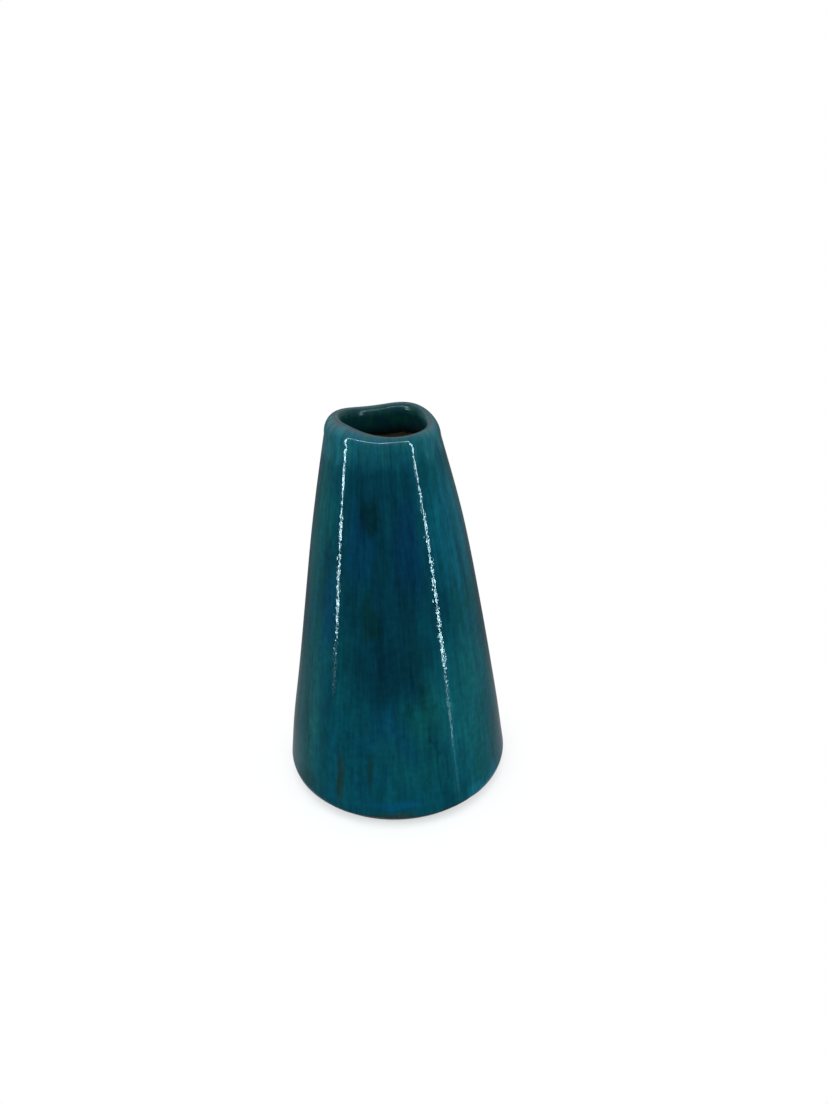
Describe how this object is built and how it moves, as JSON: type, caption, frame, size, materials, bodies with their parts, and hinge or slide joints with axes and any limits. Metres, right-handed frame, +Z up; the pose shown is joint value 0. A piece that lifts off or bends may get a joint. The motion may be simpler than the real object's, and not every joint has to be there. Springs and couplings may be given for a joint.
{
  "type": "ceramic bud vase",
  "caption": "Small tapering conical bud vase with a flat round foot, a thick rolled lip round a narrow open mouth, and a streaked teal-to-blue gloss glaze over dark clay.",
  "frame": {"origin": "centre of the round foot, on the plane the vase rests on", "axes": "+Z up along the vase's axis towards the mouth; -Y is the side that the front view shows, +X to its right"},
  "size_m": [0.074, 0.074, 0.125],
  "materials": {
    "bare_clay": "bare fired brown stoneware clay, matt and slightly gritty",
    "teal_glaze": "glossy teal glaze pooling to deep blue, with vertical brush streaks, thin and brownish where it breaks over the lip"
  },
  "bodies": {
    "root": {"base_disc": "bare_clay", "clay_wall": "bare_clay", "luting_coil": "bare_clay", "outer_glaze": "teal_glaze", "neck_glaze": "teal_glaze"}
  },
  "joints": []
}
